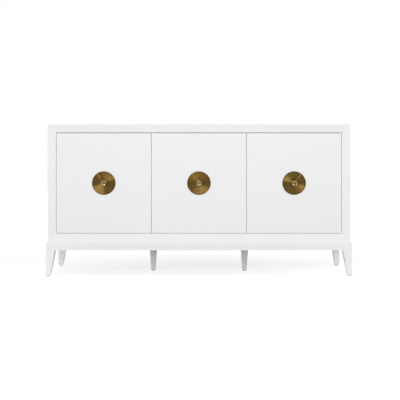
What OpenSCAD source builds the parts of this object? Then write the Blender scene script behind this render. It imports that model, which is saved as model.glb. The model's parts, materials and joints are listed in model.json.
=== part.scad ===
// Lacquered sideboard: three slab doors in a mitred, sloping face frame,
// on a bevelled stand with six tapered legs, with turned brass pulls.
// Millimetres, +Z up. The floor is Z = 0, X = 0 is the middle of the width,
// and Y = 0 is halfway from the knob tips, at -Y, to the back.

/* [Overall] */
// Width over the stand
overall_w = 1829; // [1500:1:2200]
// Depth of the stand
base_d = 457; // [380:1:560]
// Height of the case top above the floor
overall_h = 907; // [780:1:1000]

/* [Stand] */
// Height of the aprons' lower edge above the floor
apron_z = 155; // [110:1:200]
// Height of the aprons, bevel included
apron_h = 55.5; // [46:0.5:80]
// Thickness of the aprons
apron_t = 22; // [18:0.5:28]
// Step from the case out to the stand, at the front and sides, and the height of its bevel
base_step = 10; // [5:0.5:14]
// How far the case sits down behind the bevel
seat_depth = 5; // [2:0.5:8]
// Width of a corner leg at the aprons
leg_w = 54; // [40:1:64]
// Width of a corner leg at its foot
foot_w = 27; // [24:1:36]
// Width of a middle leg at its top
mid_leg_w = 46; // [34:1:56]
// Width of a middle leg at its foot
mid_foot_w = 27; // [24:1:32]
// Diameter of the turned tenon on a middle leg
tenon_d = 30; // [20:1:34]
// Length of that tenon
tenon_l = 35; // [20:1:40]
// Width of the cross rails over the middle legs
cross_w = 60; // [58:1:90]
// Height of the cross rails' undersides above the aprons' lower edges
cross_rise = 5; // [1:0.5:10]
// Thickness of the corner blocks, across the bolt
block_t = 20; // [14:1:26]
// Height of the corner blocks
block_h = 40; // [30:1:44]
// Space between a leg's inner corner and its block
block_clear = 3; // [1:0.5:8]
// Diameter of the glides under the legs
glide_d = 20; // [14:1:22]
// Thickness of the glides
glide_h = 4; // [2:0.5:6]

/* [Case] */
// Thickness of the top, bottom and side panels
panel_t = 22; // [19:0.5:28]
// Thickness of the partitions
partition_t = 20; // [18:0.5:24]
// Thickness of the back panel
back_t = 8; // [5:0.5:10]
// Width of the rebate that the back panel lies in
rebate_w = 10; // [6:0.5:12]
// Depth of the grooves that the partitions and the bottom stand in
groove_d = 6; // [3:0.5:9]
// Width of the face frame
frame_w = 49; // [36:1:64]
// Fall of the face frame's front, from its outer edge in to the doors
frame_fall = 6; // [1:0.5:8]
// Eased edge on panels, frame, doors and legs
edge_ease = 1; // [0.5:0.1:2]

/* [Shelves] */
// Thickness of the shelves
shelf_t = 18; // [15:0.5:25]
// Set-back of the shelves behind the partitions' front edges
shelf_setback = 15; // [8:1:60]
// Play of a shelf at each side and at the back
shelf_play = 1; // [0.5:0.1:2]
// Spacing of the shelf-pin holes
pin_pitch = 32; // [25:1:40]
// Holes in each row above the middle one, and below it
pin_steps = 3; // [1:1:5]
// Distance of the pin rows from the panels' front and back edges
pin_inset = 50; // [35:1:80]
// Diameter of the shelf pins
pin_d = 5; // [4:0.5:6]
// Length of a shelf pin inside its hole
pin_l = 8; // [6:0.5:9]
// Projection of the pin's rest for the shelf
rest_l = 10; // [8:0.5:14]

/* [Doors] */
// Thickness of the doors
door_t = 20; // [18:0.5:24]
// Gap between the doors, at their outer edges and under them
door_gap = 2; // [1.8:0.1:3.5]
// Gap above the doors
top_gap = 3; // [2:0.1:4]
// Clearance of a door's corners as it swings
swing_clear = 0.8; // [0.5:0.1:1.2]
// Length of a hinge leaf
leaf_l = 60; // [50:1:80]
// Width of a hinge leaf
leaf_w = 8; // [7:0.5:9]
// Thickness of a hinge leaf
leaf_t = 2.5; // [2:0.1:3.5]
// Pivot line, back from the door's face
pivot_back = 6; // [5.5:0.5:8]
// Diameter of the hinge pins
hinge_pin_d = 5; // [4:0.1:5]
// Radial clearance of the hinge pins in the door leaves
hinge_clear = 0.05; // [0.02:0.01:0.1]

/* [Pulls] */
// Diameter of the brass disc
disc_d = 140; // [100:1:180]
// Thickness of the disc at its rim
disc_rim = 3.5; // [2.5:0.5:5]
// Rise of the disc from rim to middle
disc_rise = 1.5; // [0.5:0.1:4]
// Spacing of the turned rings
ring_pitch = 2; // [1.5:0.1:4]
// Depth of the turned rings
ring_depth = 0.2; // [0.1:0.05:0.5]
// Plain band between the rings and the disc's edge
rim_band = 3.5; // [3:0.5:6]
// Diameter of the disc's raised middle
boss_d = 34; // [24:1:44]
// Rise of that middle over the disc
boss_rise = 2; // [1:0.5:4]
// Diameter of the knob
knob_d = 36; // [30:1:42]
// Thickness of the knob's head
knob_t = 11; // [8:0.5:16]
// Rounding of the head's rim
knob_round = 3; // [1:0.5:3.5]
// Depth of the dish in the knob's face
dish_depth = 2; // [0.5:0.1:2.5]
// Diameter of the knob's neck
neck_d = 18; // [14:0.5:20]
// How far the neck draws in between disc and head
neck_waist = 2; // [0.5:0.1:2.5]
// Reach of the knob in front of the door
pull_reach = 30; // [26:1:45]

/* [Catches] */
// Width of a catch, off the partition
catch_w = 14; // [12:0.5:18]
// Depth of a catch
catch_d = 16; // [14:0.5:24]
// Height of a catch
catch_h = 44; // [40:1:60]
// Thickness of a strike plate
strike_t = 1.5; // [1.5:0.1:2.5]
// Distance of the catches below the doors' top edges
catch_drop = 70; // [40:1:140]
// Diameter of the door bumpers
bumper_d = 7; // [4:0.5:7]
// Distance of the bumpers from the doors' top and bottom edges
bumper_inset = 30; // [20:1:60]

/* [Fasteners] */
// Diameter of the hanger bolts in the corner legs
bolt_d = 8; // [6:1:10]
// Length of a hanger bolt inside its leg
bolt_in_leg = 32; // [20:1:36]
// Length of a hanger bolt past its corner block
bolt_past_block = 14; // [12:1:20]
// Diameter of the screws that hold the case down
case_screw_d = 4.5; // [4:0.1:5]
// Length of a case screw inside the case
case_screw_into = 16; // [10:1:18]
// Diameter of the back panel's screws
back_screw_d = 3; // [2.5:0.1:3.5]
// Length of the back panel's screws
back_screw_l = 28; // [20:1:32]
// Diameter of the screws in hinges, strike plates and catches
small_screw_d = 2.8; // [2.4:0.1:3]
// Length of the screws in hinges and strike plates
small_screw_l = 16; // [12:1:18]
// Diameter of the screw through a door and its disc into the knob
pull_screw_d = 5; // [4:0.5:6]

/* [Hidden] */
$fn = 64;

// Extra length that carries a cut clear of a face
cut = 1;
// Play between a rigid piece and the pocket it is let into
fit = 0.1;
// Gap left between a fixed piece and the moving one that it stops or holds
rest_gap = 0.3;

lacquer = "#f1f1ef";
inner_lacquer = "#e9e9e6";
brass = "#8a6c3a";
steel = "#b9bcc0";
dark_steel = "#5a5c60";
plastic = "#e2e2de";
rubber = "#d6d6d2";
glide_grey = "#6b6862";

// Depth: the knobs stand furthest forward, so they set where Y = 0 falls
door_back_set = base_step + frame_fall;
knob_proud = max(0, pull_reach - door_back_set);
back_y = (base_d + knob_proud) / 2;
front_y = back_y - base_d;
base_mid_y = (front_y + back_y) / 2;
case_front_y = front_y + base_step;
door_front_y = front_y + door_back_set;
door_back_y = door_front_y + door_t;
pivot_y = door_front_y + pivot_back;

// A door's front corner swings out past its hinge edge, so the pivot lies far enough in
// for that to stay inside the gap
swing_out = door_gap - swing_clear;
front_corner = pivot_back - edge_ease;
leaf_wall = 2;
pivot_in = max(leaf_w / 2 + leaf_wall, (pow(front_corner, 2) - pow(swing_out, 2)) / (2 * swing_out));
// Its back corner swings in past its back, so the partitions stand clear of that
back_corner = door_t - pivot_back;
swing_in = norm([pivot_in, back_corner]) - back_corner;
stop_gap = max(swing_in + swing_clear, strike_t + 2 * rest_gap);
case_edge_y = door_back_y + stop_gap;
back_face_y = back_y - back_t;

// Height
base_top = apron_z + apron_h;
seat_z = base_top - seat_depth;
opening_z0 = seat_z + frame_w;
opening_z1 = overall_h - frame_w;
floor_z = opening_z0;
floor_under_z = floor_z - panel_t;
ceiling_z = overall_h - panel_t;
door_z0 = opening_z0 + door_gap;
door_z1 = opening_z1 - top_gap;
door_h = door_z1 - door_z0;
door_mid_z = (door_z0 + door_z1) / 2;
cross_z = apron_z + cross_rise;
catch_z = door_z1 - catch_drop;

// Width
base_half = overall_w / 2;
case_half = base_half - base_step;
inside_half = case_half - panel_t;
opening_half = case_half - frame_w;
door_w = (2 * opening_half - 4 * door_gap) / 3;
door_step = door_w + door_gap;
partition_x = door_step / 2;

// Doors are counted 0, 1, 2 from the left; -1 is hinged at its left edge, 1 at its right
hinge_side = [-1, -1, 1];
function door_x(k) = (k - 1) * door_step;
// The partition that a door closes against, and the way from it into the door's own bay
function stop_x(k) = door_x(k) - hinge_side[k] * door_step / 2;
function into_bay(k) = hinge_side[k];
function bay_wall_x(k) = stop_x(k) + into_bay(k) * partition_t / 2;
function catch_x(k) = bay_wall_x(k) + into_bay(k) * catch_w / 2;

// Bays are counted the same way, by their inner faces
bay_x0 = [-inside_half, -partition_x + partition_t / 2, partition_x + partition_t / 2];
bay_x1 = [-partition_x - partition_t / 2, partition_x - partition_t / 2, inside_half];
pin_row_y = [case_edge_y + pin_inset, back_face_y - pin_inset];
pin_mid_z = (floor_z + ceiling_z) / 2;
shelf_z = pin_mid_z + pin_d / 2;
pin_hole_spare = 1;
pin_hole_l = pin_l + pin_hole_spare;

// Corner joint of the stand, measured along the diagonal from the outer corner
leg_corner = leg_w * sqrt(2);
block_near = leg_corner + block_clear;
block_far = block_near + block_t;
bolt_z = seat_z - block_h / 2;
bolt_start = leg_corner - bolt_in_leg;
bolt_end = block_far + bolt_past_block;
nut_h = 0.8 * bolt_d;
nut_flange_h = 0.2 * bolt_d;

// Screws: diameter, head diameter, head height
function screw(d) = [d, 1.85 * d, d / 2];
case_screw = screw(case_screw_d);
back_screw = screw(back_screw_d);
small_screw = screw(small_screw_d);
pull_screw = [pull_screw_d, 2.2 * pull_screw_d, 0.6 * pull_screw_d];

// Turned disc
disc_r = disc_d / 2;
boss_r = boss_d / 2;
boss_h = disc_rim + disc_rise + boss_rise;
ring_r1 = disc_r - rim_band;
ring_n = floor((ring_r1 - boss_r) / ring_pitch) - 1;
ring_r0 = ring_r1 - ring_n * ring_pitch;

// Helpers

module prism_x(points, x0, x1) {
    translate([x0, 0, 0]) rotate([90, 0, 90]) linear_extrude(x1 - x0) polygon(points);
}

module prism_y(points, y0, y1) {
    translate([0, y1, 0]) rotate([90, 0, 0]) linear_extrude(y1 - y0) polygon(points);
}

module prism_z(points, z0, z1) {
    translate([0, 0, z0]) linear_extrude(z1 - z0) polygon(points);
}

module block(low, high) {
    translate(low) cube(high - low);
}

module flip_x(yes) {
    if (yes) mirror([1, 0, 0]) children();
    else children();
}

module flip_y(yes) {
    if (yes) mirror([0, 1, 0]) children();
    else children();
}

module flip_z(yes) {
    if (yes) mirror([0, 0, 1]) children();
    else children();
}

// Countersunk screw, head flush with Z = 0 and shank down -Z
module countersunk(s, l, play = 0) {
    translate([0, 0, -s[2]]) cylinder(h = s[2], d1 = s[0] + 2 * play, d2 = s[1] + 2 * play);
    translate([0, 0, -l]) cylinder(h = l - s[2] + play, d = s[0] + 2 * play);
}

// Screw with a round head standing on Z = 0 and its shank down -Z
module headed(s, l) {
    cylinder(h = s[2], d = s[1]);
    translate([0, 0, -l]) cylinder(h = l, d = s[0]);
}

// A corner of the stand: X and Y run inwards from its outer corner
module at_corner(right, back) {
    translate([0, base_mid_y, 0]) flip_x(right) flip_y(back)
        translate([-base_half, -base_d / 2, 0]) children();
}

module each_corner() {
    for (right = [false, true], back = [false, true]) at_corner(right, back) children();
}

// A hinge end of door k: the pivot line is the Z axis, the door's edge is Z = 0,
// +Z points into the case, +X runs along the door, and $gap is the gap to the case there
module at_hinge(k, top) {
    $gap = top ? top_gap : door_gap;
    translate([door_x(k) + hinge_side[k] * (door_w / 2 - pivot_in), pivot_y, top ? door_z1 : door_z0])
        flip_x(hinge_side[k] > 0) flip_z(!top) children();
}

module each_hinge() {
    for (k = [0:2], top = [false, true]) at_hinge(k, top) children();
}

// Hinges: a straight knife hinge at the top and bottom of each door

leaf_screw_x = leaf_l * [0.36, 0.76];
pin_pocket_l = 2;
pin_pocket_play = 0.7;
pin_end = 1;
press_play = 0.02;

module leaf_outline(play = 0) {
    end_x = leaf_l - leaf_w;
    circle(d = leaf_w + 2 * play);
    translate([0, -leaf_w / 2 - play]) square([end_x, leaf_w + 2 * play]);
    translate([end_x, 0]) circle(d = leaf_w + 2 * play);
}

module leaf(bore_r) {
    difference() {
        translate([0, 0, -leaf_t]) linear_extrude(leaf_t) leaf_outline();
        translate([0, 0, -leaf_t - cut]) cylinder(h = leaf_t + 2 * cut, r = bore_r);
        for (x = leaf_screw_x) translate([x, 0, 0]) countersunk(small_screw, leaf_t + cut, fit);
    }
}

// Pocket for a leaf and its screws, and past the leaf for the end of the pin
module leaf_pocket() {
    translate([0, 0, -leaf_t]) linear_extrude(leaf_t + cut) leaf_outline(fit);
    translate([0, 0, -leaf_t - pin_pocket_l])
        cylinder(h = pin_pocket_l + cut, r = hinge_pin_d / 2 + pin_pocket_play);
    for (x = leaf_screw_x)
        translate([x, 0, -small_screw_l - cut]) cylinder(h = small_screw_l, d = small_screw[0] + 2 * fit);
}

module to_case_leaf() {
    translate([0, 0, $gap]) mirror([0, 0, 1]) children();
}

module case_hinge_leaves() {
    color(brass) each_hinge() to_case_leaf() leaf(hinge_pin_d / 2 + press_play);
}

module hinge_pins() {
    color(steel) each_hinge() translate([0, 0, -leaf_t - pin_end])
        cylinder(h = 2 * leaf_t + $gap + pin_end, d = hinge_pin_d);
}

module hinge_washers() {
    color(brass) each_hinge() translate([0, 0, fit]) difference() {
        cylinder(h = $gap - 2 * fit, d = leaf_w);
        translate([0, 0, -cut]) cylinder(h = $gap + 2 * cut, r = hinge_pin_d / 2 + hinge_clear);
    }
}

module door_hinge_leaves(k) {
    color(brass) for (top = [false, true]) at_hinge(k, top) leaf(hinge_pin_d / 2 + hinge_clear);
}

// Case panels: mitred at the two top corners, grooved for the bottom and partitions

// Mitred bar along X with its outer edge at z = 0 and its width up +Z, eased at both corners
function mitred(half, w, e) = [
    [-half + e, 0], [-half + e / 2, e / 2], [-half + w, w],
    [half - w, w], [half - e / 2, e / 2], [half - e, 0]
];

function turned_over(points, z) = [for (p = points) [p[0], z - p[1]]];

module partition_grooves(z0, z1) {
    for (s = [-1, 1])
        block([s * partition_x - partition_t / 2, case_edge_y - cut, z0],
              [s * partition_x + partition_t / 2, back_face_y, z1]);
}

module top_panel() {
    color(lacquer) difference() {
        prism_y(turned_over(mitred(case_half, panel_t, edge_ease), overall_h), case_edge_y, back_y);
        partition_grooves(ceiling_z - cut, ceiling_z + groove_d);
        block([-inside_half - rebate_w, back_face_y, ceiling_z - cut],
              [inside_half + rebate_w, back_y + cut, ceiling_z + rebate_w]);
        back_screw_holes();
    }
}

module bottom_panel() {
    color(inner_lacquer) difference() {
        block([-inside_half - groove_d, case_edge_y, floor_under_z],
              [inside_half + groove_d, back_face_y, floor_z]);
        partition_grooves(floor_z - groove_d, floor_z + cut);
        back_screw_holes();
        case_screw_holes();
    }
}

// Left side panel; the right one is its mirror image
module side_panel() {
    e = edge_ease;
    difference() {
        prism_y([[-case_half, seat_z], [-case_half, overall_h - e], [-case_half + e / 2, overall_h - e / 2],
                 [-inside_half, ceiling_z], [-inside_half, seat_z]], case_edge_y, back_y);
        block([-inside_half - groove_d, case_edge_y - cut, floor_under_z],
              [-inside_half + cut, back_face_y, floor_z]);
        block([-inside_half - rebate_w, back_face_y, floor_under_z],
              [-inside_half + cut, back_y + cut, ceiling_z + rebate_w]);
        pin_holes(-inside_half - pin_hole_l, -inside_half + cut);
        back_screw_holes();
        case_screw_holes();
    }
}

module left_side_panel() {
    color(lacquer) side_panel();
}

module right_side_panel() {
    color(lacquer) mirror([1, 0, 0]) side_panel();
}

module pin_holes(x0, x1) {
    for (y = pin_row_y, i = [-pin_steps:pin_steps])
        translate([x0, y, pin_mid_z + i * pin_pitch]) rotate([0, 90, 0]) cylinder(h = x1 - x0, d = pin_d);
}

// Partition, centred on x
module partition(x) {
    difference() {
        block([x - partition_t / 2, case_edge_y, floor_z - groove_d],
              [x + partition_t / 2, back_face_y, ceiling_z + groove_d]);
        pin_holes(x - partition_t / 2 - cut, x + partition_t / 2 + cut);
        back_screw_holes();
        catch_screw_holes();
    }
}

module left_partition() {
    color(inner_lacquer) partition(-partition_x);
}

module right_partition() {
    color(inner_lacquer) partition(partition_x);
}

// Screws of the back panel, round its edge and down both partitions
back_screws_across = 8;
back_screws_down = 4;
back_low_z = floor_z - panel_t / 2;
back_high_z = ceiling_z + rebate_w / 2;

module each_back_screw() {
    side_x = inside_half + rebate_w / 2;
    for (i = [0:back_screws_across - 1], z = [back_low_z, back_high_z])
        let (x = -side_x + 2 * side_x * (i + 0.5) / back_screws_across)
            translate([x, back_y, z]) rotate([-90, 0, 0]) children();
    for (j = [0:back_screws_down - 1], x = [-side_x, -partition_x, partition_x, side_x])
        let (z = back_low_z + (back_high_z - back_low_z) * (j + 0.5) / back_screws_down)
            translate([x, back_y, z]) rotate([-90, 0, 0]) children();
}

module back_screw_holes() {
    each_back_screw() countersunk(back_screw, back_screw_l + cut, fit);
}

module back_panel() {
    color(inner_lacquer) difference() {
        block([-inside_half - rebate_w, back_face_y, floor_under_z],
              [inside_half + rebate_w, back_y, ceiling_z + rebate_w]);
        back_screw_holes();
    }
}

module back_panel_screws() {
    color(steel) each_back_screw() countersunk(back_screw, back_screw_l);
}

module case_back_rail() {
    color(inner_lacquer)
        block([-inside_half, back_y - panel_t, seat_z], [inside_half, back_y, floor_under_z]);
}

// Face frame: one sloping section, mitred at all four corners

// Section of the frame: first number across the frame from its outer edge, second is Y
function frame_section() = let (e = edge_ease, f = frame_fall, w = frame_w) [
    [0, case_edge_y], [0, case_front_y + e], [e, case_front_y + f * e / w],
    [w - e, case_front_y + f * (w - e) / w], [w, case_front_y + f + e], [w, case_edge_y]
];

// Frame bar along X, with its outer edge on Z = 0, cut to its mitres
module frame_bar(half) {
    intersection() {
        prism_x([for (p = frame_section()) [p[1], p[0]]], -half, half);
        prism_y(mitred(half, frame_w, edge_ease), case_front_y - cut, case_edge_y + cut);
    }
}

module frame_top_rail() {
    color(lacquer) difference() {
        translate([0, 0, overall_h]) mirror([0, 0, 1]) frame_bar(case_half);
        for (k = [0:2]) at_hinge(k, true) to_case_leaf() leaf_pocket();
    }
}

module frame_bottom_rail() {
    color(lacquer) difference() {
        translate([0, 0, seat_z]) frame_bar(case_half);
        for (k = [0:2]) at_hinge(k, false) to_case_leaf() leaf_pocket();
    }
}

module stile() {
    half_h = (overall_h - seat_z) / 2;
    translate([-case_half, 0, seat_z + half_h]) rotate([0, 90, 0]) frame_bar(half_h);
}

module frame_left_stile() {
    color(lacquer) stile();
}

module frame_right_stile() {
    color(lacquer) mirror([1, 0, 0]) stile();
}

// Shelves on pins

module shelf(bay) {
    color(inner_lacquer)
        block([bay_x0[bay] + shelf_play, case_edge_y + shelf_setback, shelf_z],
              [bay_x1[bay] - shelf_play, back_face_y - shelf_play, shelf_z + shelf_t]);
}

// Pin along +X: its rest is clear of the wall, its shank runs back into the hole
module shelf_pin() {
    translate([-pin_l, 0, 0]) rotate([0, 90, 0]) cylinder(h = pin_l + cut, d = pin_d - fit);
    translate([0, 0, -pin_d / 2]) linear_extrude(pin_d) {
        translate([0, -pin_d]) square([rest_l - pin_d, 2 * pin_d]);
        translate([rest_l - pin_d, 0]) circle(r = pin_d);
    }
}

module shelf_pins() {
    color(steel) for (bay = [0:2], y = pin_row_y) {
        translate([bay_x0[bay], y, pin_mid_z]) shelf_pin();
        translate([bay_x1[bay], y, pin_mid_z]) mirror([1, 0, 0]) shelf_pin();
    }
}

// Stand: aprons with a bevelled lip that the case drops behind, legs, cross rails and blocks

apron_section = [
    [0, apron_z], [apron_t, apron_z], [apron_t, seat_z], [base_step, seat_z],
    [base_step, base_top], [0, base_top - base_step]
];

module base_front_apron() {
    color(lacquer) translate([0, front_y, 0])
        prism_x(apron_section, -base_half + leg_w, base_half - leg_w);
}

module base_back_apron() {
    color(lacquer)
        block([-base_half + leg_w, back_y - apron_t, apron_z], [base_half - leg_w, back_y, seat_z]);
}

module side_apron() {
    translate([-base_half, 0, 0]) prism_y(apron_section, front_y + leg_w, back_y - leg_w);
}

module base_left_apron() {
    color(lacquer) side_apron();
}

module base_right_apron() {
    color(lacquer) mirror([1, 0, 0]) side_apron();
}

// Corner leg in its corner's own directions. Its outer faces are plumb and its inner faces taper.
// The back legs carry the bevel only at the side, so that the back stays flat to the wall.
module corner_leg(back) {
    taper = [[0, glide_h], [foot_w, glide_h], [leg_w, apron_z], [leg_w, base_top]];
    bevelled = concat(taper, [[base_step, base_top], [0, base_top - base_step]]);
    flat = concat(taper, [[0, base_top]]);
    e = edge_ease;
    difference() {
        intersection() {
            prism_y(bevelled, 0, leg_w);
            prism_x(back ? flat : bevelled, 0, leg_w);
            prism_z([[e, 0], [leg_w, 0], [leg_w, leg_w], [0, leg_w], [0, e]], glide_h, base_top);
        }
        block([base_step, back ? -cut : base_step, seat_z], [leg_w + cut, leg_w + cut, base_top + cut]);
        leg_bolt(fit);
        translate([foot_w / 2, foot_w / 2, 0]) glide_nail(fit);
    }
}

module front_left_leg() {
    color(lacquer) at_corner(false, false) corner_leg(false);
}

module front_right_leg() {
    color(lacquer) at_corner(true, false) corner_leg(false);
}

module back_left_leg() {
    color(lacquer) at_corner(false, true) corner_leg(true);
}

module back_right_leg() {
    color(lacquer) at_corner(true, true) corner_leg(true);
}

// Middle leg with all four faces tapered and a turned tenon up into its cross rail
module middle_leg(x) {
    outline = [[-mid_foot_w / 2, glide_h], [mid_foot_w / 2, glide_h],
               [mid_leg_w / 2, cross_z], [-mid_leg_w / 2, cross_z]];
    color(lacquer) translate([x, base_mid_y, 0]) difference() {
        union() {
            intersection() {
                prism_x(outline, -mid_leg_w / 2, mid_leg_w / 2);
                prism_y(outline, -mid_leg_w / 2, mid_leg_w / 2);
            }
            translate([0, 0, cross_z - cut]) cylinder(h = tenon_l + cut, d = tenon_d);
        }
        glide_nail(fit);
    }
}

// Cross rail: its lower part spans from apron to apron, its upper part rises inside the case
// to carry the bottom panel under a partition
module cross_rail(x) {
    x0 = x - cross_w / 2;
    x1 = x + cross_w / 2;
    tenon_room = 2;
    color(inner_lacquer) difference() {
        union() {
            block([x0, front_y + apron_t, cross_z], [x1, back_y - apron_t, seat_z]);
            block([x0, case_edge_y, seat_z - cut], [x1, back_y - panel_t, floor_under_z]);
        }
        translate([x, base_mid_y, cross_z - cut])
            cylinder(h = tenon_l + cut + tenon_room, d = tenon_d + fit);
        case_screw_holes();
    }
}

module corner_blocks() {
    t = apron_t;
    near = block_near * sqrt(2);
    far = block_far * sqrt(2);
    color(inner_lacquer) difference() {
        each_corner() difference() {
            prism_z([[t, near - t], [t, far - t], [far - t, t], [near - t, t]], seat_z - block_h, seat_z);
            leg_bolt(fit);
        }
        case_screw_holes();
    }
}

// Hanger bolt through a corner block into the inner corner of the leg, and its nut
module along_bolt(d) {
    translate([0, 0, bolt_z]) rotate([0, 0, 45]) translate([d, 0, 0]) rotate([0, 90, 0]) children();
}

module leg_bolt(play = 0) {
    along_bolt(bolt_start - play) cylinder(h = bolt_end - bolt_start + 2 * play, d = bolt_d + 2 * play);
}

module leg_bolts() {
    color(steel) each_corner() leg_bolt();
}

module leg_nuts() {
    color(steel) each_corner() along_bolt(block_far) difference() {
        union() {
            cylinder(h = nut_flange_h, d = 2.2 * bolt_d);
            cylinder(h = nut_h, d = 1.85 * bolt_d, $fn = 6);
        }
        translate([0, 0, -cut]) cylinder(h = nut_h + 2 * cut, d = bolt_d + 2 * fit);
    }
}

// Screws that hold the case down: one up through each block into a side panel,
// and two, sunk into each cross rail, up into the bottom panel
module each_case_screw() {
    side_x = (apron_t + base_step + panel_t) / 2;
    block_mid = (block_near + block_far) / sqrt(2);
    each_corner() translate([side_x, block_mid - side_x, seat_z - block_h]) mirror([0, 0, 1]) children(0);
    for (x = [-partition_x, partition_x], s = [-1, 1])
        translate([x, base_mid_y + s * base_d / 4, floor_under_z - block_h]) mirror([0, 0, 1]) children(1);
}

case_screw_l = block_h + case_screw_into;
sink_play = 1;

module case_screw_hole() {
    translate([0, 0, -case_screw_l - cut]) cylinder(h = case_screw_l + 2 * cut, d = case_screw[0] + 2 * fit);
}

module case_screw_holes() {
    each_case_screw() {
        case_screw_hole();
        union() {
            case_screw_hole();
            cylinder(h = base_top - apron_z + panel_t, d = case_screw[1] + 2 * sink_play);
        }
    }
}

module case_screws() {
    color(steel) each_case_screw() {
        headed(case_screw, case_screw_l);
        headed(case_screw, case_screw_l);
    }
}

// Nail-on glide, standing on the floor with its nail up into the foot
glide_nail_d = 2.4;
glide_nail_l = 14;

module glide_nail(play = 0) {
    translate([0, 0, glide_h - cut]) cylinder(h = glide_nail_l + cut + play, d = glide_nail_d + 2 * play);
}

module glide() {
    round_r = 1;
    rotate_extrude() {
        square([glide_d / 2 - round_r, glide_h]);
        translate([0, round_r]) square([glide_d / 2, glide_h - round_r]);
        translate([glide_d / 2 - round_r, round_r]) circle(r = round_r);
    }
    glide_nail();
}

module leg_glides() {
    color(glide_grey) {
        each_corner() translate([foot_w / 2, foot_w / 2, 0]) glide();
        for (x = [-partition_x, partition_x]) translate([x, base_mid_y, 0]) glide();
    }
}

// Doors: flush slabs with eased front edges, turned disc, knob, strike plate and screws

module slab(w, h, t, e) {
    intersection() {
        prism_z([[-w / 2, t], [-w / 2, e], [-w / 2 + e, 0], [w / 2 - e, 0], [w / 2, e], [w / 2, t]], 0, h);
        prism_x([[t, 0], [e, 0], [0, e], [0, h - e], [e, h], [t, h]], -w / 2, w / 2);
    }
}

module door(k) {
    color(lacquer) difference() {
        translate([door_x(k), door_front_y, door_z0]) slab(door_w, door_h, door_t, edge_ease);
        for (top = [false, true]) at_hinge(k, top) leaf_pocket();
        at_pull(k) translate([0, 0, -door_t - cut])
            cylinder(h = door_t + 2 * cut, d = pull_screw_d + 2 * fit);
        each_strike_screw(k) countersunk(small_screw, small_screw_l + cut, fit);
    }
}

// The pull of door k: +Z runs out of the door's face
module at_pull(k) {
    translate([door_x(k), door_front_y, door_mid_z]) rotate([90, 0, 0]) children();
}

// Face of the disc: a shallow cone with V-shaped rings turned into it
function face_h(r) = disc_rim + disc_rise * (disc_r - r) / disc_r;

module pull_disc(k) {
    rings = [for (i = [0:ring_n - 1]) let (r = ring_r1 - i * ring_pitch)
        each [[r, face_h(r)], [r - ring_pitch / 2, face_h(r) - ring_depth]]];
    rim_bevel = 1.5;
    boss_bevel = 1;
    color(brass) at_pull(k) difference() {
        rotate_extrude($fn = 128) polygon(concat(
            [[0, 0], [disc_r, 0], [disc_r, disc_rim - rim_bevel], [disc_r - rim_bevel, face_h(disc_r)]],
            rings,
            [[ring_r0, face_h(ring_r0)], [boss_r, face_h(boss_r)],
             [boss_r, boss_h - boss_bevel], [boss_r - boss_bevel, boss_h], [0, boss_h]]
        ));
        translate([0, 0, -cut]) cylinder(h = boss_h + 2 * cut, d = pull_screw_d + 2 * fit);
    }
}

// Knob: a waisted neck under a round head with a soft rim and a dished face
module pull_knob(k) {
    head_z = pull_reach - knob_t;
    head_r = knob_d / 2;
    e = knob_round;
    steps = 8;
    neck = [for (i = [0:steps])
        [neck_d / 2 - neck_waist * sin(180 * i / steps), boss_h + (head_z + cut - boss_h) * i / steps]];
    dish_r = head_r - e;
    sphere_r = (pow(dish_r, 2) + pow(dish_depth, 2)) / (2 * dish_depth);
    screw_hole_l = head_z - boss_h + knob_t / 2;
    color(brass) at_pull(k) difference() {
        rotate_extrude($fn = 96) {
            polygon(concat([[0, boss_h]], neck, [[0, head_z + cut]]));
            translate([0, head_z]) square([head_r - e, knob_t]);
            translate([0, head_z + e]) square([head_r, knob_t - 2 * e]);
            for (z = [e, knob_t - e]) translate([head_r - e, head_z + z]) circle(r = e);
        }
        translate([0, 0, boss_h - cut]) cylinder(h = screw_hole_l + cut, d = pull_screw_d + 2 * fit);
        translate([0, 0, pull_reach - dish_depth + sphere_r]) sphere(r = sphere_r, $fn = 96);
    }
}

module knob_screw(k) {
    shank_l = door_t + pull_reach - knob_t;
    at_pull(k) translate([0, 0, -door_t]) mirror([0, 0, 1]) headed(pull_screw, shank_l);
}

// Strike plate on the door's back, in line with its catch
strike_w = 12;
strike_h = 40;
strike_ear = 4;
strike_screw_z = strike_h / 2 - strike_ear;

module each_strike_screw(k) {
    for (s = [-1, 1]) translate([catch_x(k), door_back_y + strike_t, catch_z + s * strike_screw_z])
        rotate([-90, 0, 0]) children();
}

module door_strike(k) {
    color(steel) difference() {
        block([catch_x(k) - strike_w / 2, door_back_y, catch_z - strike_h / 2],
              [catch_x(k) + strike_w / 2, door_back_y + strike_t, catch_z + strike_h / 2]);
        each_strike_screw(k) countersunk(small_screw, small_screw_l, fit);
    }
}

module door_screws(k) {
    color(steel) {
        for (top = [false, true]) at_hinge(k, top)
            for (x = leaf_screw_x) translate([x, 0, 0]) countersunk(small_screw, small_screw_l);
        each_strike_screw(k) countersunk(small_screw, small_screw_l);
        knob_screw(k);
    }
}

// Magnetic catches on the partitions, and bumpers that the doors close against

magnet_w = 6;
magnet_h = 24;
magnet_back = 4;
catch_ear = 4.5;
catch_screw_into = 8;
catch_screw_l = catch_w + catch_screw_into;
catch_screw_z = catch_h / 2 - catch_ear;

module each_catch_screw() {
    for (k = [0:2], s = [-1, 1])
        translate([bay_wall_x(k) + into_bay(k) * catch_w, case_edge_y + catch_d / 2,
                   catch_z + s * catch_screw_z])
            rotate([0, into_bay(k) * 90, 0]) children();
}

module catch_screw_holes() {
    each_catch_screw() countersunk(small_screw, catch_screw_l + cut, fit);
}

module magnet(k, play = 0) {
    w = magnet_w / 2 + play;
    h = magnet_h / 2 + play;
    block([catch_x(k) - w, door_back_y + strike_t + rest_gap, catch_z - h],
          [catch_x(k) + w, case_edge_y + catch_d - magnet_back + play, catch_z + h]);
}

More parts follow.
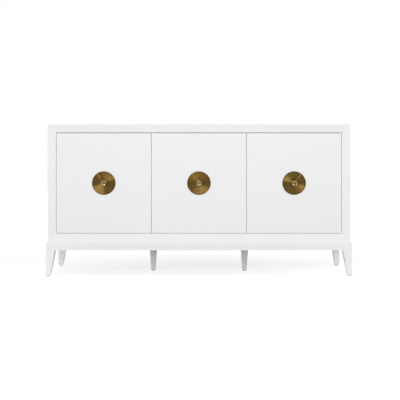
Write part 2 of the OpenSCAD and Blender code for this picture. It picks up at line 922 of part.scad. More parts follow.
module catch_housings() {
    color(plastic) difference() {
        for (k = [0:2])
            block([catch_x(k) - catch_w / 2, case_edge_y, catch_z - catch_h / 2],
                  [catch_x(k) + catch_w / 2, case_edge_y + catch_d, catch_z + catch_h / 2]);
        for (k = [0:2]) magnet(k, fit);
        catch_screw_holes();
    }
}

module catch_magnets() {
    color(dark_steel) for (k = [0:2]) magnet(k);
}

module case_hardware_screws() {
    color(steel) {
        each_hinge() to_case_leaf() for (x = leaf_screw_x)
            translate([x, 0, 0]) countersunk(small_screw, small_screw_l);
        each_catch_screw() countersunk(small_screw, catch_screw_l);
    }
}

module door_bumpers() {
    edge_in = 1;
    off_centre = (door_gap + bumper_d) / 2 + edge_in;
    color(rubber) for (k = [0:2], z = [door_z0 + bumper_inset, door_z1 - bumper_inset])
        translate([stop_x(k) + into_bay(k) * off_centre, case_edge_y, z])
            rotate([90, 0, 0]) cylinder(h = stop_gap - rest_gap, d = bumper_d);
}

top_panel();
bottom_panel();
left_side_panel();
right_side_panel();
left_partition();
right_partition();
back_panel();
case_back_rail();
frame_top_rail();
frame_bottom_rail();
frame_left_stile();
frame_right_stile();
shelf(0);  // left_shelf
shelf(1);  // middle_shelf
shelf(2);  // right_shelf
shelf_pins();
back_panel_screws();
base_front_apron();
base_back_apron();
base_left_apron();
base_right_apron();
cross_rail(-partition_x);  // left_cross_rail
cross_rail(partition_x);  // right_cross_rail
corner_blocks();
front_left_leg();
front_right_leg();
back_left_leg();
back_right_leg();
middle_leg(-partition_x);  // left_middle_leg
middle_leg(partition_x);  // right_middle_leg
leg_glides();
leg_bolts();
leg_nuts();
case_screws();
case_hinge_leaves();
hinge_pins();
hinge_washers();
case_hardware_screws();
catch_housings();
catch_magnets();
door_bumpers();
door(0);  // left_door
pull_disc(0);  // left_pull_disc
pull_knob(0);  // left_pull_knob
door_hinge_leaves(0);  // left_door_hinge_leaves
door_strike(0);  // left_door_strike
door_screws(0);  // left_door_screws
door(1);  // middle_door
pull_disc(1);  // middle_pull_disc
pull_knob(1);  // middle_pull_knob
door_hinge_leaves(1);  // middle_door_hinge_leaves
door_strike(1);  // middle_door_strike
door_screws(1);  // middle_door_screws
door(2);  // right_door
pull_disc(2);  // right_pull_disc
pull_knob(2);  // right_pull_knob
door_hinge_leaves(2);  // right_door_hinge_leaves
door_strike(2);  // right_door_strike
door_screws(2);  // right_door_screws
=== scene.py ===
"""A white lacquered sideboard with turned brass pulls, finished and lit in a plain pale studio.

Metres, +Z up. X = 0 is the middle of the width, the floor is Z = 0 and the doors face -Y.
"""

import json
import math

import bmesh
import bpy
from mathutils import Matrix, Vector
from mathutils.geometry import tessellate_polygon

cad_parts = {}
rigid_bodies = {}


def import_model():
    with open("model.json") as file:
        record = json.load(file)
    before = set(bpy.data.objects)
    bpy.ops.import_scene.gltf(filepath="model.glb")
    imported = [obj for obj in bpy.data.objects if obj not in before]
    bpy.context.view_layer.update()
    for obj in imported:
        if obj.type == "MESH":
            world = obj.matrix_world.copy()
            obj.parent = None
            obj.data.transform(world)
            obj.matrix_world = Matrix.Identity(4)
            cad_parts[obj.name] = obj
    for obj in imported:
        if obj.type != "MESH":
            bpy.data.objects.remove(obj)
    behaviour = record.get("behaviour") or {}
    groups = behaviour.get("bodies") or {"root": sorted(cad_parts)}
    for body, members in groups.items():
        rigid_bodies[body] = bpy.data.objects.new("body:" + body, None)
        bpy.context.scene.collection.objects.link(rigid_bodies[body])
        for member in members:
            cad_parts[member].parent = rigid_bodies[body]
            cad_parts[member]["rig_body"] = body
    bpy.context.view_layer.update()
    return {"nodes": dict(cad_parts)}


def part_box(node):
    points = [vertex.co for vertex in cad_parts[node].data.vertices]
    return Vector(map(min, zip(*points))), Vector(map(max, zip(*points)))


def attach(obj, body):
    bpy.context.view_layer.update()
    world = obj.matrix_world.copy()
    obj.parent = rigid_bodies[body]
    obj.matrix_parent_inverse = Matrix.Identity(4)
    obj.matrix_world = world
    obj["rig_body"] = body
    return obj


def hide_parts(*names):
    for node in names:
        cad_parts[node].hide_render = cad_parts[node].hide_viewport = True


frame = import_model()
nodes = frame["nodes"]
scene = bpy.context.scene

MM = 0.001
TURN = 2 * math.pi

# Sizes of the turned discs
RING_OUTER = 66.5 * MM
RING_INNER = 20.5 * MM
RING_PITCH = 2 * MM
RING_DEPTH = 0.16 * MM
DISC_RIM = 3.5 * MM
DISC_RISE = 1.5 * MM
RIM_ROUND = 1.5 * MM
BOSS_R = 17 * MM
BOSS_ROUND = 1.2 * MM

# Sizes of the knobs
NECK_R = 9 * MM
NECK_WAIST = 2 * MM
KNOB_T = 11 * MM
KNOB_ROUND = 3 * MM

# The dish in a knob's face: where its floor and its cone end, and how its parts lean, in degrees.
# The cone and the lip steepen outwards, by so many degrees a metre
DISH_FLAT = 9.5 * MM
DISH_CONE = 13.5 * MM
FLOOR_LEAN = 3.0
CONE_LEAN = 14.7
CONE_BEND = 0.4 / MM
LIP_LEAN = 16.3
LIP_BEND = 2.9 / MM


# Node trees

class Wire:
    """A socket in a node tree. Sums on wires add Math nodes."""

    def __init__(self, tree, socket):
        self.tree = tree
        self.socket = socket

    def math(self, operation, *others):
        values = dict(enumerate((self, *others)))
        return self.tree.node("ShaderNodeMath", {"operation": operation}, values)

    def __add__(self, other):
        return self.math("ADD", other)

    def __sub__(self, other):
        return self.math("SUBTRACT", other)

    def __rsub__(self, other):
        return self.math("MULTIPLY_ADD", -1.0, other)

    def __mul__(self, other):
        return self.math("MULTIPLY", other)

    def __truediv__(self, other):
        return self.math("DIVIDE", other)

    def __pow__(self, other):
        return self.math("POWER", other)

    __radd__ = __add__
    __rmul__ = __mul__

    def other(self, name):
        """Another output of the node that this wire leaves."""
        return Wire(self.tree, self.socket.node.outputs[name])

    def rise(self, low, high, start=0.0, end=1.0):
        """A smooth step from start to end as the wire's value goes from low to high."""
        return self.tree.node("ShaderNodeMapRange", {"interpolation_type": "SMOOTHSTEP"},
                              {"Value": self, "From Min": low, "From Max": high,
                               "To Min": start, "To Max": end})


class Tree:
    """A node tree that is written from its inputs to its surface."""

    def __init__(self, owner):
        owner.use_nodes = True
        self.nodes = owner.node_tree.nodes
        self.links = owner.node_tree.links
        self.nodes.clear()

    def node(self, kind, settings, sockets, out=0):
        """Adds a node: its settings first, then the values or wires of its sockets."""
        made = self.nodes.new(kind)
        for name, value in settings.items():
            setattr(made, name, value)
        for name, value in sockets.items():
            if isinstance(value, Wire):
                self.links.new(value.socket, made.inputs[name])
            else:
                made.inputs[name].default_value = value
        return Wire(self, made.outputs[out] if len(made.outputs) else None)

    def place(self):
        """Where a point lies in its own piece, in metres."""
        return self.node("ShaderNodeTexCoord", {}, {}, "Object")

    def axes(self, vector):
        """The X, Y and Z of a vector."""
        x = self.node("ShaderNodeSeparateXYZ", {}, {0: vector})
        return x, x.other("Y"), x.other("Z")

    def cloud(self, place, size, detail=2.0, roughness=0.5):
        """Noise from 0 to 1, with patches about this many metres across."""
        return self.node("ShaderNodeTexNoise", {},
                         {"Vector": place, "Scale": 1 / size, "Detail": detail,
                          "Roughness": roughness})

    def lines(self, value, size, detail):
        """Noise from 0 to 1 along one value, with lines about this many metres apart."""
        return self.node("ShaderNodeTexNoise", {"noise_dimensions": "1D"},
                         {"W": value, "Scale": 1 / size, "Detail": detail})

    def blend(self, factor, first, second):
        """A colour between two colours."""
        return self.node("ShaderNodeMix", {"data_type": "RGBA"},
                         {0: factor, 6: first, 7: second}, 2)

    def bump(self, height, distance):
        """Relief of this many metres where the height goes from 0 to 1."""
        return self.node("ShaderNodeBump", {},
                         {"Height": height, "Distance": distance, "Strength": 1.0})

    def lit(self):
        """1 for the camera's rays and glossy ones, and 0 for those that carry light."""
        seen = self.node("ShaderNodeLightPath", {}, {}, "Is Camera Ray")
        return seen.math("MAXIMUM", seen.other("Is Glossy Ray"))

    def finish(self, shader):
        self.node("ShaderNodeOutputMaterial", {}, {"Surface": shader})


def rgb(red, green, blue):
    return (red, green, blue, 1.0)


def grey(level):
    return rgb(level, level, level)


# Finishes

FINISHES = {}


def finish(slot):
    """Marks a function as the recipe of one of the record's finishes."""
    def keep(recipe):
        material = bpy.data.materials.new(slot + "_finish")
        recipe(Tree(material))
        FINISHES[slot] = material
        return recipe
    return keep


def sprayed(tree, warm, cool, gloss, peel_depth):
    """Sprayed lacquer: a slow drift in tone, orange peel, and a film that lies unevenly."""
    place = tree.place()
    drift = tree.cloud(place, 450 * MM)
    film = tree.cloud(place, 90 * MM, detail=3.0)
    peel = tree.cloud(place, 2.2 * MM, detail=1.5)
    mottle = tree.cloud(place, 14 * MM)
    shader = tree.node("ShaderNodeBsdfPrincipled", {}, {
        "Base Color": tree.blend(0.65 * drift + 0.35 * mottle, warm, cool),
        "Roughness": gloss + 0.08 * film,
        "Normal": tree.bump(0.8 * peel + 0.2 * mottle, peel_depth),
        "Coat Weight": 0.10 + 0.15 * film,
        "Coat Roughness": 0.55,
    })
    tree.finish(shader)


@finish("white_lacquer")
def white_lacquer(tree):
    sprayed(tree, warm=rgb(0.872, 0.868, 0.860), cool=rgb(0.858, 0.862, 0.866),
            gloss=0.54, peel_depth=0.02 * MM)


@finish("inner_lacquer")
def inner_lacquer(tree):
    sprayed(tree, warm=rgb(0.800, 0.795, 0.782), cool=rgb(0.785, 0.787, 0.785),
            gloss=0.60, peel_depth=0.04 * MM)


# Colours of the antique brass: along the lathe's lines, on a knob's head before and after hands
# have rubbed it, and where patina lies. The patina colour is also laid round the disc's rim,
# partly as patina and partly as painted shade
LINE_LOW = rgb(0.100, 0.057, 0.009)
LINE_HIGH = rgb(0.136, 0.088, 0.026)
HEAD_FRESH = rgb(0.150, 0.102, 0.038)
HEAD_RUBBED = rgb(0.260, 0.190, 0.092)
PATINA_AND_RIM_SHADE = rgb(0.050, 0.026, 0.004)

# Heights over the door between which the disc's brass gives way to the knob's
HEAD_FROM = 14 * MM
HEAD_FULL = 20 * MM


@finish("antique_brass")
def antique_brass(tree):
    """Turned brass, worked round the piece's own Z axis: fine lathe lines, a patina that lies in
    the rings and in slow clouds, a darkening round the rim that is partly patina and partly
    painted shade, and a knob that hands have rubbed bright."""
    place = tree.place()
    x, y, z = tree.axes(place)
    radius = (x * x + y * y) ** 0.5
    crest = (TURN / RING_PITCH * (radius - RING_OUTER)).math("COSINE")
    ringed = (radius.rise(BOSS_R, BOSS_R + RING_PITCH)
              * radius.rise(RING_OUTER, RING_OUTER + MM, 1.0, 0.0))
    groove = (0.5 - 0.5 * crest) * ringed
    # Darker round the disc's rim: partly patina, partly painted shade on the rim's edge
    rim = radius.rise(RING_OUTER - 1.5 * MM, RING_OUTER + 1.5 * MM)
    lathe = tree.lines(radius, 0.35 * MM, detail=3.0)
    cloud = tree.cloud(place, 22 * MM, detail=4.0)
    fleck = tree.cloud(place, 3.5 * MM, detail=3.0)
    head = z.rise(HEAD_FROM, HEAD_FULL)
    rubbed = head * radius.rise(DISH_FLAT - MM, DISH_FLAT + MM)
    patina_and_rim_shade = (0.25 * groove + 0.8 * rim + 0.9 * cloud + 0.3 * fleck - 0.35).math("MINIMUM", 1.0)
    metal = tree.blend(head, tree.blend(lathe, LINE_LOW, LINE_HIGH),
                       tree.blend(rubbed, HEAD_FRESH, HEAD_RUBBED))
    shader = tree.node("ShaderNodeBsdfPrincipled", {}, {
        "Base Color": tree.blend(patina_and_rim_shade.math("MAXIMUM", 0.0), metal, PATINA_AND_RIM_SHADE),
        "Metallic": 1.0,
        "Roughness": 0.15 + 0.08 * patina_and_rim_shade + 0.03 * lathe - 0.06 * rubbed,
        "Anisotropic": 0.85,
        "Anisotropic Rotation": 0.25,
        "Normal": tree.bump(lathe, 0.005 * MM),
        "Coat Weight": 0.06,
        "Coat Roughness": 0.2,
    })
    tree.finish(shader)


def plain_metal(tree, bright, dull, gloss, grain):
    """A drawn or plated metal: fine grain and a thin film of handling."""
    place = tree.place()
    film = tree.cloud(place, 12 * MM, detail=4.0)
    scratch = tree.cloud(place, grain, detail=3.0, roughness=0.65)
    shader = tree.node("ShaderNodeBsdfPrincipled", {}, {
        "Base Color": tree.blend(film.rise(0.35, 0.75), bright, dull),
        "Metallic": 1.0,
        "Roughness": gloss + 0.15 * film + 0.08 * scratch,
        "Normal": tree.bump(scratch, 0.01 * MM),
    })
    tree.finish(shader)


@finish("hinge_brass")
def hinge_brass(tree):
    plain_metal(tree, bright=rgb(0.62, 0.45, 0.19), dull=rgb(0.40, 0.28, 0.11),
                gloss=0.25, grain=0.5 * MM)


@finish("steel")
def steel(tree):
    plain_metal(tree, bright=rgb(0.56, 0.57, 0.58), dull=rgb(0.37, 0.38, 0.40),
                gloss=0.28, grain=0.6 * MM)


@finish("magnet")
def magnet(tree):
    plain_metal(tree, bright=rgb(0.12, 0.12, 0.125), dull=rgb(0.06, 0.06, 0.065),
                gloss=0.45, grain=0.4 * MM)


def moulded(tree, light, dark, gloss, grain, depth):
    """Moulded plastic or rubber with a fine spark-eroded grain."""
    place = tree.place()
    flow = tree.cloud(place, 9 * MM)
    texture = tree.cloud(place, grain)
    shader = tree.node("ShaderNodeBsdfPrincipled", {}, {
        "Base Color": tree.blend(flow, light, dark),
        "Roughness": gloss + 0.12 * texture,
        "Normal": tree.bump(texture, depth),
    })
    tree.finish(shader)


@finish("catch_plastic")
def catch_plastic(tree):
    moulded(tree, light=rgb(0.76, 0.76, 0.74), dark=rgb(0.70, 0.70, 0.67),
            gloss=0.38, grain=0.5 * MM, depth=0.02 * MM)


@finish("bumper_rubber")
def bumper_rubber(tree):
    moulded(tree, light=rgb(0.66, 0.66, 0.63), dark=rgb(0.58, 0.58, 0.55),
            gloss=0.55, grain=0.8 * MM, depth=0.03 * MM)


@finish("glide_plastic")
def glide_plastic(tree):
    moulded(tree, light=rgb(0.155, 0.145, 0.130), dark=rgb(0.115, 0.108, 0.098),
            gloss=0.5, grain=0.7 * MM, depth=0.04 * MM)


for piece in nodes.values():
    for place in piece.material_slots:
        place.material = FINISHES[place.material.name]


# Pieces that are turned round an axis

def arc(r, z, radius, start, end, steps=6):
    """Points of a round stretch, from one angle to another, in degrees."""
    turns = [math.radians(start + (end - start) * i / steps) for i in range(steps + 1)]
    return [(r + radius * math.cos(a), z + radius * math.sin(a)) for a in turns]


def dome(foot_r, top_r, height, steps):
    """Points of a quarter of an oval, up from its foot to its top at Z = 0."""
    turns = [TURN / 4 * i / steps for i in range(steps)]
    rising = [(top_r + (foot_r - top_r) * math.cos(a), height * (math.sin(a) - 1)) for a in turns]
    return rising + [(top_r, 0)]


def circle(r, z, count):
    turns = [TURN * i / count for i in range(count)]
    return [(r * math.cos(a), r * math.sin(a), z) for a in turns]


def spin(profile, steps):
    """Points and faces of a profile of (radius, height) turned round Z."""
    points, faces, rings = [], [], []
    for r, z in profile:
        count = steps if r > 0 else 1
        rings.append(range(len(points), len(points) + count))
        points += circle(r, z, count)
    for low, high in zip(rings, rings[1:]):
        for i in range(steps):
            corners = [low[i % len(low)], low[(i + 1) % len(low)],
                       high[(i + 1) % len(high)], high[i % len(high)]]
            faces.append(list(dict.fromkeys(corners)))
    return points, faces


def solid(name, parts, crease=38):
    """One object from several sets of points and faces. Edges stay sharp where they turn by more
    than the crease, in degrees."""
    points, faces = [], []
    for part_points, part_faces in parts:
        faces += [[len(points) + i for i in face] for face in part_faces]
        points += part_points
    mesh = bpy.data.meshes.new(name)
    mesh.from_pydata(points, [], faces)
    work = bmesh.new()
    work.from_mesh(mesh)
    bmesh.ops.recalc_face_normals(work, faces=work.faces)
    work.to_mesh(mesh)
    work.free()
    for face in mesh.polygons:
        face.use_smooth = True
    mesh.set_sharp_from_angle(angle=math.radians(crease))
    piece = bpy.data.objects.new(name, mesh)
    scene.collection.objects.link(piece)
    return piece


def fit(piece, node, slot):
    """Gives a piece its finish, and lets it ride where the node that it stands for rides."""
    piece.data.materials.append(FINISHES[slot])
    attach(piece, nodes[node]["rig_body"])
    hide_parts(node)


# Turned pulls

DISC_STEPS = 180
DISC_CREASE = 9
KNOB_STEPS = 96
NECK_STEPS = 12
DISH_STEPS = 30


def face_height(r, disc_r):
    """Height of the disc's coned face, before the rings are cut."""
    return DISC_RIM + DISC_RISE * (disc_r - r) / disc_r


def disc_profile(disc_r, boss_top):
    profile = [(0, 0), (disc_r, 0)]
    profile += arc(disc_r - RIM_ROUND, DISC_RIM - RIM_ROUND, RIM_ROUND, 0, 90, steps=12)
    flanks = 2 * round((RING_OUTER - RING_INNER) / RING_PITCH)
    for i in range(flanks + 1):
        r = RING_OUTER - RING_PITCH * i / 2
        profile.append((r, face_height(r, disc_r) - RING_DEPTH * (i % 2)))
    profile.append((BOSS_R, face_height(BOSS_R, disc_r)))
    profile += arc(BOSS_R - BOSS_ROUND, boss_top - BOSS_ROUND, BOSS_ROUND, 0, 90, steps=12)
    profile.append((0, boss_top))
    return profile


def dish_lean(r):
    """How far the dish leans here, in degrees: a nearly flat floor, a cone, a steeper lip."""
    if r < DISH_FLAT:
        return FLOOR_LEAN * r / DISH_FLAT
    if r < DISH_CONE:
        return CONE_LEAN + CONE_BEND * (r - DISH_FLAT)
    return LIP_LEAN + LIP_BEND * (r - DISH_CONE)


def dish(rim_r, top):
    """Points of the dish, from its rim in to its middle."""
    points = []
    step = rim_r / DISH_STEPS
    height = top
    for i in range(1, DISH_STEPS + 1):
        height -= step * math.tan(math.radians(dish_lean(rim_r - (i - 0.5) * step)))
        points.append((rim_r * (1 - i / DISH_STEPS), height))
    return points


def knob_profile(knob_r, foot, top):
    head = top - KNOB_T
    profile = [(0, foot)]
    for i in range(NECK_STEPS + 1):
        up = i / NECK_STEPS
        profile.append((NECK_R - NECK_WAIST * math.sin(math.pi * up), foot + (head - foot) * up))
    profile += arc(knob_r - KNOB_ROUND, head + KNOB_ROUND, KNOB_ROUND, -90, 0)
    profile += arc(knob_r - KNOB_ROUND, top - KNOB_ROUND, KNOB_ROUND, 0, 90)
    return profile + dish(knob_r - KNOB_ROUND, top)


for side in ("left", "middle", "right"):
    disc_node, knob_node = side + "_pull_disc", side + "_pull_knob"
    disc_low, disc_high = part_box(disc_node)
    knob_low, knob_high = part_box(knob_node)
    boss_top = disc_high.y - disc_low.y
    disc_shape = spin(disc_profile((disc_high.x - disc_low.x) / 2, boss_top), DISC_STEPS)
    knob_shape = spin(knob_profile((knob_high.x - knob_low.x) / 2, boss_top,
                                   disc_high.y - knob_low.y), KNOB_STEPS)
    disc = solid(side + "_turned_disc", [disc_shape], DISC_CREASE)
    knob = solid(side + "_turned_knob", [knob_shape])
    middle = (disc_low + disc_high) / 2
    for piece, node in ((disc, disc_node), (knob, knob_node)):
        # A turned piece stands on its door: its own Z points out of the door's face
        piece.location = (middle.x, disc_high.y, middle.z)
        piece.rotation_euler = (math.pi / 2, 0, 0)
        fit(piece, node, "antique_brass")


# Fasteners and bumpers: each is made anew where its CAD solid stands

# The directions that a fastener may have
WAYS = [Vector(way).normalized()
        for way in ((1, 0, 0), (0, 1, 0), (0, 0, 1), (1, 1, 0), (1, -1, 0))]

# How a CAD screw is read: what is level with an end, what still counts as shank, in its radii,
# and how far out and down, in shares of the head, the edge of a head that isn't sunk reaches
LEVEL_WITHIN = 0.05 * MM
SHANK_WITHIN = 1.1
FULL_OUT = 0.98
FULL_DOWN = 0.5

ROD_STEPS = 24

# A cross-headed screw: the length of its point in shank radii, the edge of a sunk head and the
# dome of a round one in shares of the head's radius and height, and the cross cut in the top,
# whose floor is this share of its brim
POINT_LENGTH = 4
SUNK_EDGE = ((0.97, 0.06), (0.93, 0))
DOME_FOOT = 0.96
DOME_TOP = 0.55
DOME_HEIGHT = 0.85
ARM_REACH = 0.5
ARM_HALF = 0.11
RECESS_DEPTH = 0.55
RECESS_FLOOR = 0.7

# The thread of the hanger bolts, and the levels of points in one turn of it
THREAD_PITCH = 1.25 * MM
THREAD_DEPTH = 0.6 * MM
LEVELS = 4

# A bumper: its foot in a share of its radius, and its dome in a share of its height
BUMPER_FOOT = 0.97
BUMPER_DOME = 0.75


def solids(node):
    """The points of each separate solid in a CAD node."""
    work = bmesh.new()
    work.from_mesh(nodes[node].data)
    bmesh.ops.remove_doubles(work, verts=work.verts, dist=0.001 * MM)
    done = set()
    found = []
    for start in work.verts:
        if start in done:
            continue
        done.add(start)
        reached = [start]
        for point in reached:
            for edge in point.link_edges:
                beside = edge.other_vert(point)
                if beside not in done:
                    done.add(beside)
                    reached.append(beside)
        found.append([point.co.copy() for point in reached])
    work.free()
    return found


def reach(points, way):
    """How far along a direction the points begin and end."""
    along = [point.dot(way) for point in points]
    return min(along), max(along)


def length_along(points, way):
    low, high = reach(points, way)
    return high - low


def longest_way(points):
    return max(WAYS, key=lambda way: length_along(points, way))


def stance(points, way):
    """The matrix that stands a piece, made along Z with its top at zero, where the points
    begin, and (distance down, distance out) of each point as the piece sees it."""
    across = way.orthogonal().normalized()
    other = way.cross(across)
    middle = across * sum(reach(points, across)) / 2 + other * sum(reach(points, other)) / 2
    top = middle + way * reach(points, way)[1]
    place = Matrix.Translation(top) @ way.to_track_quat("Z", "Y").to_matrix().to_4x4()
    seen = []
    for point in points:
        down = (top - point).dot(way)
        seen.append((down, (point - top + way * down).length))
    return place, seen


def placed(shape, place):
    points, faces = shape
    return [place @ Vector(point) for point in points], faces


def recess_outline(head_r):
    """The twelve corners of the cross in a screw's head."""
    arm, half = ARM_REACH * head_r, ARM_HALF * head_r
    outline = []
    for quarter in range(4):
        turn = Matrix.Rotation(quarter * TURN / 4, 2)
        outline += [turn @ Vector(corner) for corner in ((arm, -half), (arm, half), (half, half))]
    return outline


def screw(length, shank_r, head_r, head_h, sunk):
    """A screw with a cross recess: the top of its head is at Z = 0 and its point goes down."""
    profile = [(0, -length), (shank_r, POINT_LENGTH * shank_r - length), (shank_r, -head_h)]
    if sunk:
        profile += [(out * head_r, -down * head_h) for out, down in SUNK_EDGE]
    else:
        profile.append((DOME_FOOT * head_r, -head_h))
        profile += dome(head_r, DOME_TOP * head_r, DOME_HEIGHT * head_h, steps=5)
    points, faces = spin(profile, ROD_STEPS)
    outline = recess_outline(head_r)
    count = len(outline)
    rim = range(len(points) - ROD_STEPS, len(points))
    brim = range(len(points), len(points) + count)
    floor = range(len(points) + count, len(points) + 2 * count)
    points += [(x, y, 0) for x, y in outline]
    points += [(RECESS_FLOOR * x, RECESS_FLOOR * y, -RECESS_DEPTH * head_h) for x, y in outline]
    loops = [[Vector(points[i]) for i in loop] for loop in (rim, brim)]
    where = [*rim, *brim]
    faces += [[where[i] for i in corners] for corners in tessellate_polygon(loops)]
    for i in range(count):
        after = (i + 1) % count
        faces.append([brim[i], brim[after], floor[after], floor[i]])
    faces.append(list(floor))
    return points, faces


def threaded(length, radius):
    """A rod down from Z = 0 with a helical thread that fades out at both ends."""
    levels = LEVELS * round(length / THREAD_PITCH)
    points, faces = [], []
    for level in range(levels + 1):
        fade = min(1, level / LEVELS, (levels - level) / LEVELS)
        for i in range(ROD_STEPS):
            turn = (level / LEVELS + i / ROD_STEPS) % 1
            r = radius - THREAD_DEPTH + THREAD_DEPTH * fade * (1 - abs(2 * turn - 1))
            around = TURN * i / ROD_STEPS
            points.append((r * math.cos(around), r * math.sin(around), -length * level / levels))
    for level in range(levels):
        start = level * ROD_STEPS
        for i in range(ROD_STEPS):
            after = (i + 1) % ROD_STEPS
            faces.append([start + i, start + after,
                          start + ROD_STEPS + after, start + ROD_STEPS + i])
    faces.append(list(range(ROD_STEPS)))
    faces.append(list(range(levels * ROD_STEPS, (levels + 1) * ROD_STEPS)))
    return points, faces


def cross_head(points):
    """The screw that stands for a CAD screw, sized from the points of its solid."""
    way = longest_way(points)
    place, seen = stance(points, way)
    length = max(down for down, out in seen)
    at_top = max(out for down, out in seen if down < LEVEL_WITHIN)
    at_tip = max(out for down, out in seen if down > length - LEVEL_WITHIN)
    if at_top < at_tip:
        place, seen = stance(points, -way)
    shank_r = min(at_top, at_tip)
    head_h = min(down for down, out in seen if out < SHANK_WITHIN * shank_r)
    head_r = max(out for down, out in seen)
    full = any(out > FULL_OUT * head_r and down > FULL_DOWN * head_h for down, out in seen)
    return placed(screw(length, shank_r, head_r, head_h, sunk=not full), place)


def bolt(points):
    """The threaded bolt that stands for a CAD rod."""
    place, seen = stance(points, longest_way(points))
    length = max(down for down, out in seen)
    return placed(threaded(length, max(out for down, out in seen)), place)


def bumper(points):
    """A soft dome that faces the door."""
    place, seen = stance(points, Vector((0, -1, 0)))
    height = max(down for down, out in seen)
    r = max(out for down, out in seen)
    foot = BUMPER_FOOT * r
    profile = [(0, -height), (foot, -height), (r, r - foot - height)]
    profile += dome(r, 0, BUMPER_DOME * height, steps=8)
    return placed(spin(profile, steps=32), place)


for node, name, shape, slot in (
        ("back_panel_screws", "back_cross_heads", cross_head, "steel"),
        ("case_screws", "case_cross_heads", cross_head, "steel"),
        ("case_hardware_screws", "hardware_cross_heads", cross_head, "steel"),
        ("left_door_screws", "left_door_cross_heads", cross_head, "steel"),
        ("middle_door_screws", "middle_door_cross_heads", cross_head, "steel"),
        ("right_door_screws", "right_door_cross_heads", cross_head, "steel"),
        ("leg_bolts", "threaded_leg_bolts", bolt, "steel"),
        ("door_bumpers", "domed_bumpers", bumper, "bumper_rubber")):
    fit(solid(name, [shape(points) for points in solids(node)]), node, slot)


# Stage

FLOOR_HALF = 9.0

# How much light the floor bounces, under the object and away from it. The lower bounce under the
# object is painted shade that darkens the legs under the case
PAINTED_SHADE_UNDER_BOUNCE = 0.48
FLOOR_BOUNCE = 0.66

# What the camera sees of the floor: its paint, and its glow near the object. Painted light makes
# the glow a little stronger at the right and in front, and a painted shadow makes it weaker
# behind, so that the object's shadow fades to the right and lies further back than the lamps put
# it
FLOOR_SHOWN = 0.45
FLOOR_GLOW = 0.692
PAINTED_LIGHT_RIGHT = 0.055
PAINTED_LIGHT_FRONT = 0.045
PAINTED_SHADOW_BEHIND = -0.11
GLOW_MOST = 1 + PAINTED_LIGHT_RIGHT + PAINTED_LIGHT_FRONT

# Half the width and half the depth of the ovals in which the glow and the bounce change
GLOW_OVAL = (1.5, 0.9)
PAINTED_SHADE_OVAL = (1.1, 0.4)


def oval(x, y, size):
    """0 in the middle of the floor, and 1 on an oval of this size."""
    return ((x / size[0]) ** 2.0 + (y / size[1]) ** 2.0) ** 0.5


def pale_floor(tree):
    """A pale floor. Where it is seen or mirrored it glows up to white and keeps the object's
    shadow. Painted light fades that shadow to the right and in front, and a painted shadow
    darkens it towards the back."""
    def matt(level):
        return tree.node("ShaderNodeBsdfDiffuse", {}, {"Color": grey(level)})

    x, y, _ = tree.axes(tree.place())
    near = oval(x, y, GLOW_OVAL).rise(1.0, 1.8, FLOOR_GLOW, 1.0)
    # Painted light at the right and in front, and a painted shadow behind, weaker at the left
    right = x.rise(0.1, 0.8, 0.0, PAINTED_LIGHT_RIGHT)
    behind = y.rise(0.0, 0.35, PAINTED_LIGHT_FRONT, PAINTED_SHADOW_BEHIND) + y.rise(0.4, 0.9, 0.0, -PAINTED_SHADOW_BEHIND)
    glow = near + right + behind * x.rise(-0.8, 0.0, 0.55, 1.0)
    # Under the object the floor bounces less light: painted shade on the legs under the case
    away = oval(x, y, PAINTED_SHADE_OVAL).rise(0.6, 1.0)
    bounce = tree.node("ShaderNodeMixShader", {},
                       {0: away, 1: matt(PAINTED_SHADE_UNDER_BOUNCE), 2: matt(FLOOR_BOUNCE)})
    brightest = tree.node("ShaderNodeEmission", {}, {"Strength": GLOW_MOST})
    shine = tree.node("ShaderNodeMixShader", {}, {0: glow / GLOW_MOST, 2: brightest})
    white = tree.node("ShaderNodeAddShader", {}, {0: matt(FLOOR_SHOWN), 1: shine})
    tree.finish(tree.node("ShaderNodeMixShader", {}, {0: tree.lit(), 1: bounce, 2: white}))


def lay_floor():
    work = bmesh.new()
    bmesh.ops.create_grid(work, x_segments=2, y_segments=2, size=FLOOR_HALF)
    mesh = bpy.data.meshes.new("floor")
    work.to_mesh(mesh)
    work.free()
    floor = bpy.data.objects.new("floor", mesh)
    scene.collection.objects.link(floor)
    material = bpy.data.materials.new("pale_floor")
    pale_floor(Tree(material))
    mesh.materials.append(material)


lay_floor()


# Light

ROOM_FILL = 0.74
MIDDLE = (0, 0, 0.5)


def room_light():
    """White behind and around the object, and a plain soft fill on it."""
    world = bpy.data.worlds.new("studio")
    scene.world = world
    tree = Tree(world)
    strength = tree.lit().rise(0.0, 1.0, ROOM_FILL, 1.0)
    light = tree.node("ShaderNodeBackground", {}, {"Color": grey(1), "Strength": strength})
    tree.node("ShaderNodeOutputWorld", {}, {"Surface": light})


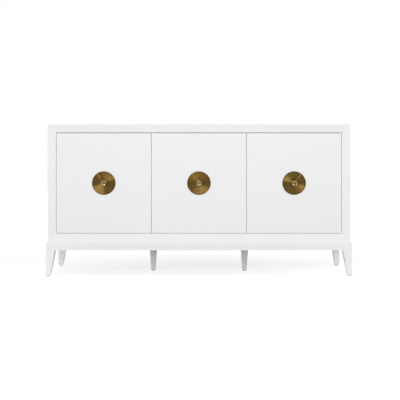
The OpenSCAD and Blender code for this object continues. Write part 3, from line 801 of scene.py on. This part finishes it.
def softbox(name, place, target, width, height, watts, spread=180):
    """A rectangular lamp that faces its target. A grid on it narrows its spread, in degrees."""
    lamp = bpy.data.lights.new(name, "AREA")
    lamp.spread = math.radians(spread)
    lamp.shape = "RECTANGLE"
    lamp.size = width
    lamp.size_y = height
    lamp.energy = watts
    light = bpy.data.objects.new(name, lamp)
    light.location = place
    light.rotation_euler = (Vector(target) - Vector(place)).to_track_quat("-Z", "Y").to_euler()
    scene.collection.objects.link(light)


room_light()
softbox("key_softbox", (-0.65, -5.2, 1.35), MIDDLE, 1.2, 1.2, watts=27)
softbox("second_softbox", (0.5, -5.2, 1.5), MIDDLE, 0.8, 0.8, watts=5)
softbox("low_softbox", (-0.05, -5.2, 1.0), MIDDLE, 0.6, 0.6, watts=8)
softbox("left_softbox", (-2.7, -4.6, 2.5), MIDDLE, 0.4, 0.4, watts=21)
softbox("right_softbox", (2.75, -4.6, 2.45), MIDDLE, 0.4, 0.4, watts=19)
softbox("top_softbox", (1.4, -2.4, 3.0), MIDDLE, 1.4, 1.0, watts=6)
for name, way in (("left_strip", -1), ("right_strip", 1)):
    softbox(name, (way * 3.0, -1.2, 0.2), (way * 0.8, 0.2, -0.1), 0.4, 0.3, watts=0.36, spread=16)


# Camera: level, so that plumb edges stay plumb, with the frame shifted down to the object

# The frame's side, the lens, the horizon and the object's middle, in pixels of the frame, and
# the eye's height and its distance from the front of the stand
FRAME_PIXELS = 400
FOCAL_PIXELS = 771
HORIZON_ROW = 149.8
MIDDLE_COLUMN = 198.95
EYE_HEIGHT = 0.755
EYE_DISTANCE = 4.6


def place_camera():
    lens = bpy.data.cameras.new("camera")
    lens.sensor_width = 36
    lens.lens = lens.sensor_width * FOCAL_PIXELS / FRAME_PIXELS
    lens.shift_x = 0.5 - MIDDLE_COLUMN / FRAME_PIXELS
    lens.shift_y = HORIZON_ROW / FRAME_PIXELS - 0.5
    lens.clip_end = 100
    camera = bpy.data.objects.new("camera", lens)
    camera.location = (0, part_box("base_front_apron")[0].y - EYE_DISTANCE, EYE_HEIGHT)
    camera.rotation_euler = (math.pi / 2, 0, 0)
    scene.collection.objects.link(camera)
    scene.camera = camera


place_camera()
scene.view_settings.view_transform = "Standard"
